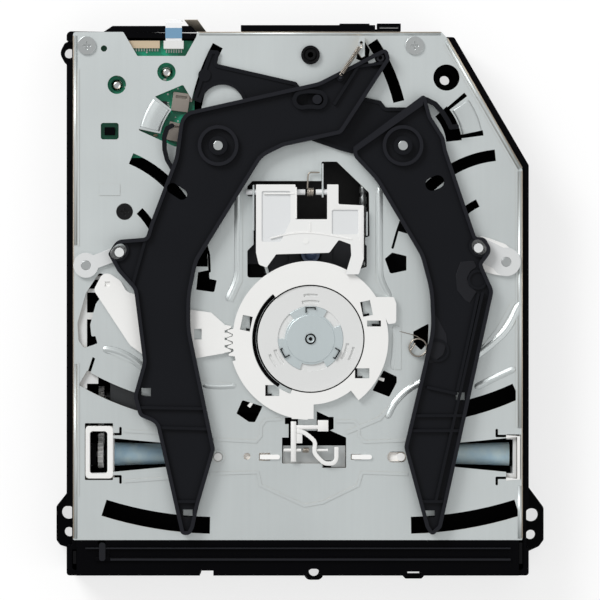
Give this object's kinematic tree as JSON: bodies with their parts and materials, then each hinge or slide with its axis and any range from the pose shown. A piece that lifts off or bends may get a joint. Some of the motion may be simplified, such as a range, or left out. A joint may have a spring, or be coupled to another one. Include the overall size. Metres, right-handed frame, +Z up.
{
  "type": "slot-loading disc drive",
  "caption": "Slot-loading disc drive for a console, with swinging disc arms, a clamping ring and a driven roller.",
  "frame": {"origin": "spindle axis on the bottom cover's face", "axes": "+Z up out of the top plate, +Y to the rear, -Y to the disc slot, +X to the right"},
  "size_m": [0.1579, 0.1808, 0.0291],
  "materials": {
    "cover_steel": "satin",
    "case_plastic": "fine moulded grain",
    "zinc_steel": "satin zinc coat",
    "arm_plastic": "fine moulded grain",
    "grey_nylon": "smooth",
    "white_nylon": "smooth",
    "clamper_white": "smooth",
    "pin_steel": "satin",
    "cap_steel": "satin",
    "roller_rubber": "soft, slightly mottled",
    "motor_can": "satin",
    "deck_steel": "matt",
    "damper_rubber": "matt",
    "sled_metal": "cast",
    "lens_plastic": "clear",
    "board_green": "solder mask",
    "switch_metal": "stamped",
    "ribbon_white": "film",
    "black_steel": "black oxide",
    "spring_steel": "drawn wire"
  },
  "bodies": {
    "case_body": {"bottom_cover": "cover_steel", "chassis": "case_plastic", "front_guide": "case_plastic", "top_plate": "zinc_steel", "arm_pivot_pins": "pin_steel", "link_rivets": "pin_steel", "sector_rivet": "pin_steel", "loading_motor": "motor_can", "roller_brackets": "clamper_white", "traverse_deck": "deck_steel", "deck_dampers": "damper_rubber", "guide_rods": "pin_steel", "sled_motor": "motor_can", "spindle_motor": "motor_can", "sensor_board": "board_green", "board_posts": "case_plastic", "board_screws": "pin_steel", "detect_switches": "switch_metal", "ribbon_connector": "clamper_white", "ribbon": "ribbon_white", "rear_rail": "case_plastic", "corner_screws": "pin_steel", "black_screw": "black_steel", "rubber_boss": "damper_rubber", "arm_spring": "spring_steel", "ring_spring": "spring_steel", "flap_spring": "spring_steel", "release_spring": "spring_steel", "disc_guides": "clamper_white", "bottom_screws": "black_steel"},
    "left_arm_body": {"left_arm": "arm_plastic"},
    "right_arm_body": {"right_arm": "arm_plastic"},
    "left_link_body": {"left_link": "grey_nylon"},
    "right_link_body": {"right_link": "grey_nylon"},
    "sector_body": {"sector_lever": "white_nylon"},
    "ring_body": {"lock_ring": "white_nylon"},
    "clamper_body": {"clamper_disc": "clamper_white", "clamper_cap": "cap_steel"},
    "flap_body": {"clamp_flap": "white_nylon"},
    "release_body": {"release_lever": "white_nylon"},
    "roller_body": {"roller_shaft": "pin_steel", "left_roller": "roller_rubber", "right_roller": "roller_rubber", "left_collar": "case_plastic", "right_collar": "case_plastic", "roller_gear": "white_nylon"},
    "idler_body": {"idler_gear": "white_nylon"},
    "motor_gear_body": {"motor_gear": "white_nylon"},
    "turntable_body": {"turntable": "case_plastic", "turntable_pad": "damper_rubber"},
    "sled_body": {"pickup_sled": "sled_metal", "pickup_lens": "lens_plastic"},
    "screw_body": {"lead_screw": "pin_steel"},
    "slider_body": {"cam_slider": "grey_nylon"}
  },
  "joints": [
    {"name": "left_arm_swing", "type": "hinge", "parent": "case_body", "child": "left_arm_body", "pos_m": [-0.0295, 0.0617, 0.0245], "axis": [0, 0, -1], "range_deg": [-0.5, 11.6], "deforming": ["arm_spring"]},
    {"name": "right_arm_swing", "type": "hinge", "parent": "case_body", "child": "right_arm_body", "pos_m": [0.0295, 0.0617, 0.0245], "axis": [0, 0, 1], "range_deg": [-0.5, 11.6]},
    {"name": "left_link_swing", "type": "hinge", "parent": "case_body", "child": "left_link_body", "pos_m": [-0.0718, 0.0235, 0.0245], "axis": [0, 0, 1], "range_deg": [-2.25, 52.2]},
    {"name": "right_link_swing", "type": "hinge", "parent": "case_body", "child": "right_link_body", "pos_m": [0.0626, 0.0246, 0.0245], "axis": [0, 0, -1], "range_deg": [-2.25, 52.2]},
    {"name": "sector_turn", "type": "hinge", "parent": "case_body", "child": "sector_body", "pos_m": [-0.05175, 0, 0.0245], "axis": [0, 0, 1], "range_deg": [0, 14]},
    {"name": "ring_turn", "type": "hinge", "parent": "case_body", "child": "ring_body", "pos_m": [0, 0, 0.0245], "axis": [0, 0, -1], "range_deg": [0, 14], "deforming": ["ring_spring"]},
    {"name": "clamper_spin", "type": "hinge", "parent": "case_body", "child": "clamper_body", "pos_m": [0, 0, 0.0245], "axis": [0, 0, 1], "continuous": true},
    {"name": "flap_lift", "type": "hinge", "parent": "case_body", "child": "flap_body", "pos_m": [0, 0.0469, 0.0242], "axis": [-1, 0, 0], "range_deg": [0, 6], "stiffness_Nm_per_rad": 0.02},
    {"name": "release_tilt", "type": "hinge", "parent": "case_body", "child": "release_body", "pos_m": [0, -0.0356, 0.0236], "axis": [-1, 0, 0], "range_deg": [0, 3], "stiffness_Nm_per_rad": 0.01},
    {"name": "roller_spin", "type": "hinge", "parent": "case_body", "child": "roller_body", "pos_m": [0, -0.0372, 0.0127], "axis": [1, 0, 0], "continuous": true},
    {"name": "idler_spin", "type": "hinge", "parent": "case_body", "child": "idler_body", "pos_m": [-0.0675, -0.02796, 0.00887], "axis": [1, 0, 0], "continuous": true},
    {"name": "motor_spin", "type": "hinge", "parent": "case_body", "child": "motor_gear_body", "pos_m": [-0.0675, -0.01896, 0.00887], "axis": [1, 0, 0], "continuous": true},
    {"name": "turntable_spin", "type": "hinge", "parent": "case_body", "child": "turntable_body", "pos_m": [0, 0, 0.008], "axis": [0, 0, 1], "continuous": true},
    {"name": "screw_spin", "type": "hinge", "parent": "case_body", "child": "screw_body", "pos_m": [0.017, 0.045, 0.011], "axis": [0, 1, 0], "range_deg": [0, 3600]},
    {"name": "sled_slide", "type": "slide", "parent": "case_body", "child": "sled_body", "axis": [0, 1, 0], "range_m": [0, 0.03]},
    {"name": "slider_slide", "type": "slide", "parent": "case_body", "child": "slider_body", "axis": [0, -1, 0], "range_m": [0, 0.0037]}
  ],
  "couplings": [
    {"joint": "right_arm_swing", "follows": "left_arm_swing", "ratio": 1},
    {"joint": "left_link_swing", "follows": "left_arm_swing", "ratio": 4.5},
    {"joint": "right_link_swing", "follows": "left_arm_swing", "ratio": 4.5},
    {"joint": "sector_turn", "follows": "ring_turn", "ratio": 1},
    {"joint": "slider_slide", "follows": "ring_turn", "m_per_rad": 0.015},
    {"joint": "idler_spin", "follows": "roller_spin", "ratio": -0.66667},
    {"joint": "motor_spin", "follows": "roller_spin", "ratio": 1.3333},
    {"joint": "screw_spin", "follows": "sled_slide", "rad_per_m": 2094.4}
  ]
}
